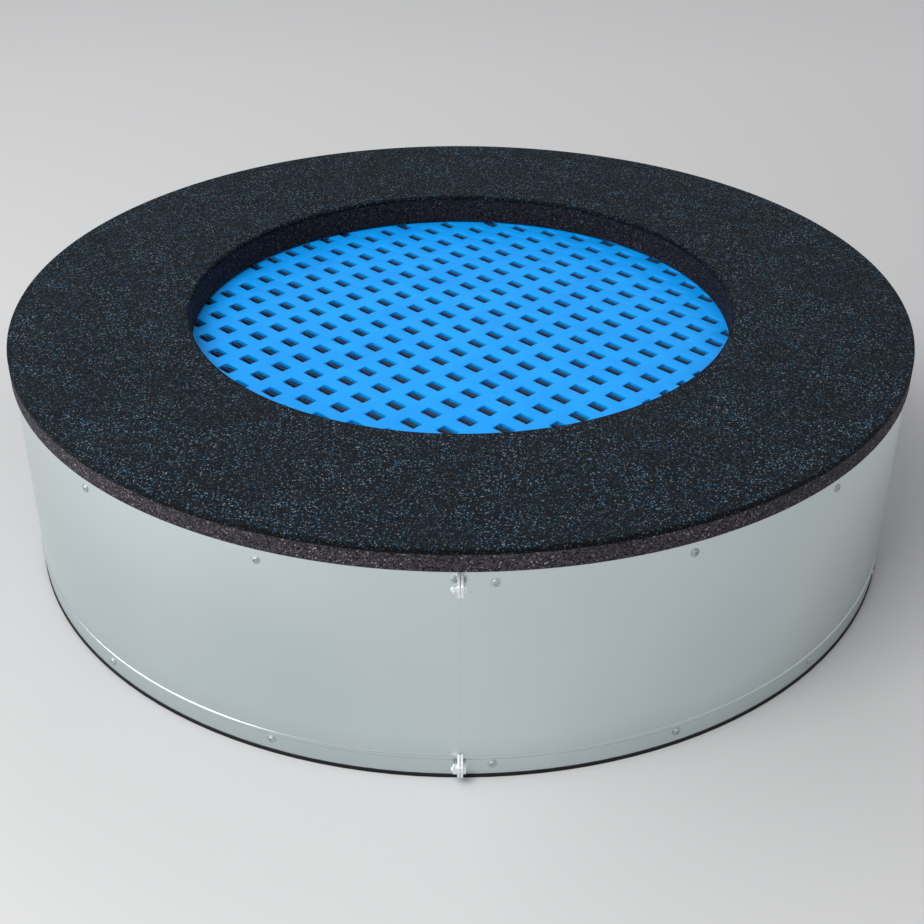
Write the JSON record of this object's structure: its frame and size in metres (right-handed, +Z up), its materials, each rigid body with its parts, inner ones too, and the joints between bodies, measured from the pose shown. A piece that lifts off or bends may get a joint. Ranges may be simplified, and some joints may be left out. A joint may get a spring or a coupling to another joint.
{
  "type": "round playground trampoline",
  "caption": "Low round trampoline: a rubber safety ring on a steel housing round a sprung, perforated blue jumping mat.",
  "frame": {"origin": "on the ground under the middle of the trampoline", "axes": "+Z up, the closing seam that the picture shows faces -Y, +X to the right of it"},
  "size_m": [1.4998, 1.5326, 0.3955],
  "materials": {
    "flecked_rubber": "matte granulate with blue and pale flecks",
    "black_rubber": "matte granulate",
    "foot_rubber": "matte",
    "bright_sheet": "smooth satin sheet",
    "galvanised_frame": "hot-dip galvanised",
    "spring_steel": "zinc plated",
    "blue_mat": "satin moulded",
    "steel_cable": "stranded",
    "zinc_hardware": "bright zinc"
  },
  "bodies": {
    "housing": {"bottom_hoop": "galvanised_frame", "deck_arms": "galvanised_frame", "deck_plate": "galvanised_frame", "foot_strip": "foot_rubber", "lugs_left": "zinc_hardware", "lugs_right": "zinc_hardware", "posts": "galvanised_frame", "ring_base": "black_rubber", "ring_surface": "flecked_rubber", "seam_bolts": "zinc_hardware", "seam_nuts": "zinc_hardware", "seam_strap_front": "galvanised_frame", "seam_strap_rear": "galvanised_frame", "shell_left": "bright_sheet", "shell_right": "bright_sheet", "spring_anchors": "galvanised_frame", "springs_front": "spring_steel", "springs_left": "spring_steel", "springs_rear": "spring_steel", "springs_right": "spring_steel", "top_hoop": "galvanised_frame"},
    "mat": {"jump_mat": "blue_mat", "mat_cables": "steel_cable", "mat_rim": "galvanised_frame", "rim_eyes": "galvanised_frame"}
  },
  "joints": [
    {"name": "mat_bounce", "type": "slide", "parent": "housing", "child": "mat", "axis": [0, 0, 1], "range_m": [-0.15, 0], "stiffness_N_per_m": 12000, "springref_m": 0.0105, "deforming": ["springs_front", "springs_right", "springs_rear", "springs_left"]}
  ]
}
